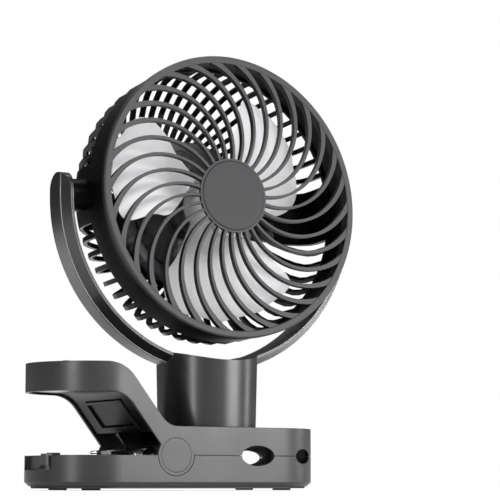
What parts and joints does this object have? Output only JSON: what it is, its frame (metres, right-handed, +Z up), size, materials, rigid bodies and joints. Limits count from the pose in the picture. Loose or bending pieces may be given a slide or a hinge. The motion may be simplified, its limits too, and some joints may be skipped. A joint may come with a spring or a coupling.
{
  "type": "portable camping fan",
  "caption": "Rechargeable clip fan: grilled head with a light ring, tilting in a half-round yoke on a turning column above a sprung clip base with a folding hook",
  "frame": {"origin": "middle of the whole part's box in plan, on the plane the rubber feet stand on", "axes": "+Z up along the column; +X along the clip from the squeeze lever to the nose; -Y the way the head blows"},
  "size_m": [0.2588, 0.0922, 0.31],
  "materials": {
    "charcoal_shell": "satin moulded ABS, fine texture",
    "charcoal_plate": "matt moulded ABS",
    "soft_rubber": "matt soft rubber",
    "steel_screw": "zinc plated",
    "cell_wrap": "shrunk PVC sleeve",
    "black_inner": "matt nylon",
    "nickel_strip": "nickel plated strip",
    "circuit_board": "solder-masked glass-epoxy laminate",
    "socket_steel": "bright nickel plate",
    "black_liner": "matt moulded ABS",
    "grip_rubber": "soft grip rubber",
    "pin_steel": "ground steel",
    "spring_steel": "drawn spring wire",
    "hook_wire": "bright plated wire",
    "charcoal_cap": "satin moulded ABS",
    "panel_black": "polished polycarbonate",
    "window_grey": "translucent polycarbonate",
    "receiver_dark": "dark red infrared-passing plastic",
    "button_rubber": "moulded silicone key",
    "slip_washer": "acetal slip washer",
    "charcoal_column": "satin moulded ABS",
    "charcoal_yoke": "satin moulded ABS",
    "charcoal_trim": "satin moulded ABS",
    "charcoal_grille": "satin moulded ABS",
    "charcoal_hub": "satin moulded ABS",
    "black_band": "smooth black ABS",
    "black_cage": "black ABS",
    "grey_housing": "grey ABS",
    "charcoal_disc": "satin moulded ABS",
    "motor_steel": "zinc plated can",
    "led_board_white": "white solder mask",
    "led_phosphor": "phosphor encapsulant",
    "lens_clear": "clear polycarbonate",
    "blade_pale": "milky translucent polypropylene",
    "nut_plastic": "moulded nylon"
  },
  "bodies": {
    "lower_clip": {"lower_shell": "charcoal_shell", "bottom_plate": "charcoal_plate", "rubber_feet": "soft_rubber", "plate_screws": "steel_screw", "battery_cells": "cell_wrap", "cell_holder": "black_inner", "cell_contacts": "nickel_strip", "main_board": "circuit_board", "charge_socket": "socket_steel", "lower_jaw_liner": "black_liner", "lower_grip_pads": "grip_rubber", "pivot_pin": "pin_steel", "bumper_pad": "soft_rubber", "torsion_spring": "spring_steel"},
    "hook": {"hanging_hook": "hook_wire"},
    "upper_clip": {"upper_shell": "charcoal_shell", "upper_jaw_liner": "black_liner", "upper_grip_pads": "grip_rubber", "pivot_caps": "charcoal_cap", "lever_liner": "black_liner", "control_panel": "panel_black", "indicator_window": "window_grey", "ir_receiver": "receiver_dark", "button_board": "circuit_board", "swivel_washer": "slip_washer"},
    "fan_key": {"fan_button": "button_rubber"},
    "light_key": {"light_button": "button_rubber"},
    "timer_key": {"timer_button": "button_rubber"},
    "column": {"column_base": "charcoal_column", "swivel_retainer": "black_inner", "swivel_screws": "steel_screw", "yoke_frame": "charcoal_yoke", "wire_covers": "charcoal_trim", "tilt_pins": "pin_steel", "tilt_washers": "slip_washer"},
    "head": {"front_grille": "charcoal_grille", "hub_cap": "charcoal_hub", "head_band": "black_band", "rear_cage": "black_cage", "motor_pot": "grey_housing", "rear_disc": "charcoal_disc", "motor_can": "motor_steel", "led_board": "led_board_white", "led_chips": "led_phosphor", "led_lens": "lens_clear"},
    "rotor": {"motor_shaft": "pin_steel", "fan_blade": "blade_pale", "blade_nut": "nut_plastic"}
  },
  "joints": [
    {"name": "clamp_squeeze", "type": "hinge", "parent": "lower_clip", "child": "upper_clip", "pos_m": [-0.0414, 0, 0.0238], "axis": [0, -1, 0], "range_deg": [0, 24], "stiffness_Nm_per_rad": 1.5, "springref_deg": -28.65, "deforming": ["torsion_spring"]},
    {"name": "hook_fold", "type": "hinge", "parent": "lower_clip", "child": "hook", "pos_m": [0.0046, 0, 0.0035], "axis": [0, -1, 0], "range_deg": [0, 90]},
    {"name": "fan_button_press", "type": "slide", "parent": "upper_clip", "child": "fan_key", "axis": [0, 0, -1], "range_m": [0, 0.0008], "stiffness_N_per_m": 400},
    {"name": "light_button_press", "type": "slide", "parent": "upper_clip", "child": "light_key", "axis": [0, 0, -1], "range_m": [0, 0.0008], "stiffness_N_per_m": 400},
    {"name": "timer_button_press", "type": "slide", "parent": "upper_clip", "child": "timer_key", "axis": [0, 0, -1], "range_m": [0, 0.0008], "stiffness_N_per_m": 400},
    {"name": "column_swivel", "type": "hinge", "parent": "upper_clip", "child": "column", "pos_m": [0.0086, 0, 0.05], "axis": [0, 0, 1], "range_deg": [-180, 180]},
    {"name": "head_tilt", "type": "hinge", "parent": "column", "child": "head", "pos_m": [0.0086, 0, 0.2048], "axis": [1, 0, 0], "range_deg": [-90, 90]},
    {"name": "fan_spin", "type": "hinge", "parent": "head", "child": "rotor", "pos_m": [0.0086, 0, 0.2048], "axis": [0, -0.9964, 0.0845], "continuous": true}
  ]
}
